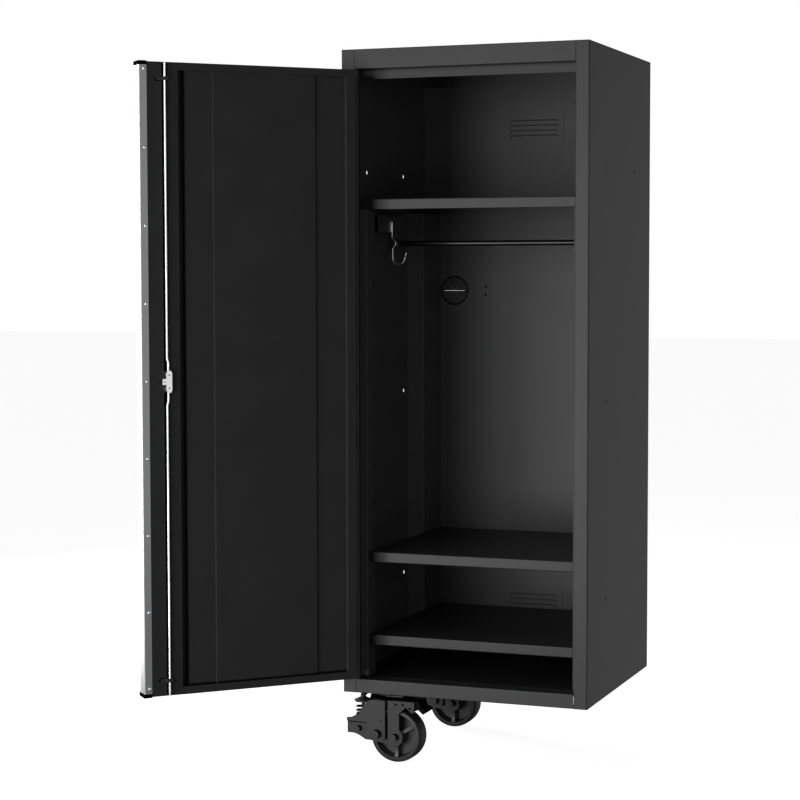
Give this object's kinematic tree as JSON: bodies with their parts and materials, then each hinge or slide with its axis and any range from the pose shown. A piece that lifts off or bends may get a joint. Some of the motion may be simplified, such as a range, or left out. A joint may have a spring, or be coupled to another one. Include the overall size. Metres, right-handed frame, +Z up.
{
  "type": "rolling tool chest side locker",
  "caption": "Tall steel side locker for a rolling tool chest, with a hinged door, lock rods, shelves, clothes rod and sprung swivel casters on its outer side.",
  "frame": {"origin": "middle of the right side panel's outer face, where the locker bolts to the chest beside it", "axes": "+X out of that side panel, +Y to the back, +Z up"},
  "size_m": [0.9617, 0.9967, 1.7273],
  "materials": {
    "body_paint": "fine matt powder coat",
    "caster_paint": "satin black coat",
    "trim_aluminium": "satin anodised",
    "bright_chrome": "polished",
    "bare_steel": "dark plated",
    "black_plastic": "matt",
    "soft_rubber": "matt",
    "tyre_rubber": "matt"
  },
  "bodies": {
    "cabinet": {"back_panel": "body_paint", "bottom_rail": "body_paint", "caster_channel": "body_paint", "clothes_rod": "body_paint", "coat_hook": "bright_chrome", "door_stop": "body_paint", "floor_panel": "body_paint", "front_caster_top_plate": "caster_paint", "front_upright_left": "body_paint", "front_upright_right": "body_paint", "grommet_insert": "soft_rubber", "grommet_ring": "black_plastic", "header_rail": "body_paint", "hinge_leaf_frame": "body_paint", "hinge_pin": "bare_steel", "lower_shelf": "body_paint", "rear_caster_top_plate": "caster_paint", "rear_header": "body_paint", "rear_upright_left": "body_paint", "rear_upright_right": "body_paint", "rod_bracket_left": "body_paint", "rod_bracket_right": "body_paint", "side_panel_left": "body_paint", "side_panel_right": "body_paint", "top_panel": "body_paint", "top_shelf": "body_paint", "upper_shelf": "body_paint"},
    "door": {"door_skin": "body_paint", "door_inner_panel": "body_paint", "door_edge_channel": "body_paint", "edge_trim": "trim_aluminium", "trim_cap_top": "black_plastic", "trim_cap_bottom": "black_plastic", "hinge_leaf_door": "body_paint", "key_cylinder": "bright_chrome", "lock_cover": "bright_chrome", "upper_rod_guide": "body_paint", "lower_rod_guide": "body_paint"},
    "lock": {"lock_cam": "bright_chrome"},
    "upper_rod": {"upper_lock_rod": "bright_chrome"},
    "lower_rod": {"lower_lock_rod": "bright_chrome"},
    "front_swivel": {"front_caster_swivel_race": "caster_paint", "front_caster_yoke": "caster_paint", "front_caster_spring": "bare_steel"},
    "front_arm": {"front_caster_arm": "caster_paint", "front_caster_axle": "bare_steel"},
    "front_pull_rod": {"front_caster_pull_rod": "caster_paint"},
    "front_wheel": {"front_caster_wheel": "caster_paint", "front_caster_tyre": "tyre_rubber"},
    "front_brake": {"front_caster_brake_pedal": "black_plastic"},
    "rear_swivel": {"rear_caster_swivel_race": "caster_paint", "rear_caster_yoke": "caster_paint", "rear_caster_spring": "bare_steel"},
    "rear_arm": {"rear_caster_arm": "caster_paint", "rear_caster_axle": "bare_steel"},
    "rear_pull_rod": {"rear_caster_pull_rod": "caster_paint"},
    "rear_wheel": {"rear_caster_wheel": "caster_paint", "rear_caster_tyre": "tyre_rubber"},
    "rear_brake": {"rear_caster_brake_pedal": "black_plastic"}
  },
  "joints": [
    {"name": "door_hinge", "type": "hinge", "parent": "cabinet", "child": "door", "pos_m": [-0.581, -0.2905, -0.0045], "axis": [0, 0, 1], "range_deg": [-40, 134.6]},
    {"name": "lock_turn", "type": "hinge", "parent": "door", "child": "lock", "pos_m": [-0.89558, -0.65722, -0.0042], "axis": [0.712, -0.7022, 0], "range_deg": [0, 90]},
    {"name": "upper_rod_slide", "type": "slide", "parent": "door", "child": "upper_rod", "axis": [0, 0, 1], "range_m": [0, 0.016]},
    {"name": "lower_rod_slide", "type": "slide", "parent": "door", "child": "lower_rod", "axis": [0, 0, 1], "range_m": [-0.016, 0]},
    {"name": "front_caster_swivel", "type": "hinge", "parent": "cabinet", "child": "front_swivel", "pos_m": [-0.5215, -0.2065, -0.7845], "axis": [0, 0, 1], "continuous": true},
    {"name": "front_arm_pivot", "type": "hinge", "parent": "front_swivel", "child": "front_arm", "pos_m": [-0.547, -0.2065, -0.8825], "axis": [0, -1, 0], "range_deg": [0, 4], "stiffness_Nm_per_rad": 150, "springref_deg": -5.73},
    {"name": "front_rod_pull", "type": "slide", "parent": "front_swivel", "child": "front_pull_rod", "axis": [0, 0, -1], "range_m": [0, 0.0035], "deforming": ["front_caster_spring"]},
    {"name": "front_wheel_spin", "type": "hinge", "parent": "front_arm", "child": "front_wheel", "pos_m": [-0.499, -0.2065, -0.8878], "axis": [0, 1, 0], "continuous": true},
    {"name": "front_brake_press", "type": "hinge", "parent": "front_arm", "child": "front_brake", "pos_m": [-0.4602, -0.2065, -0.8162], "axis": [0, 1, 0], "range_deg": [0, 12]},
    {"name": "rear_caster_swivel", "type": "hinge", "parent": "cabinet", "child": "rear_swivel", "pos_m": [-0.5215, 0.2125, -0.7845], "axis": [0, 0, 1], "continuous": true},
    {"name": "rear_arm_pivot", "type": "hinge", "parent": "rear_swivel", "child": "rear_arm", "pos_m": [-0.547, 0.2125, -0.8825], "axis": [0, -1, 0], "range_deg": [0, 4], "stiffness_Nm_per_rad": 150, "springref_deg": -5.73},
    {"name": "rear_rod_pull", "type": "slide", "parent": "rear_swivel", "child": "rear_pull_rod", "axis": [0, 0, -1], "range_m": [0, 0.0035], "deforming": ["rear_caster_spring"]},
    {"name": "rear_wheel_spin", "type": "hinge", "parent": "rear_arm", "child": "rear_wheel", "pos_m": [-0.499, 0.2125, -0.8878], "axis": [0, 1, 0], "continuous": true},
    {"name": "rear_brake_press", "type": "hinge", "parent": "rear_arm", "child": "rear_brake", "pos_m": [-0.4602, 0.2125, -0.8162], "axis": [0, 1, 0], "range_deg": [0, 12]}
  ],
  "couplings": [
    {"joint": "lock_turn", "follows": "upper_rod_slide", "rad_per_m": 98.17},
    {"joint": "lower_rod_slide", "follows": "upper_rod_slide", "ratio": -1},
    {"joint": "front_rod_pull", "follows": "front_arm_pivot", "m_per_rad": 0.0465},
    {"joint": "rear_rod_pull", "follows": "rear_arm_pivot", "m_per_rad": 0.0465}
  ]
}
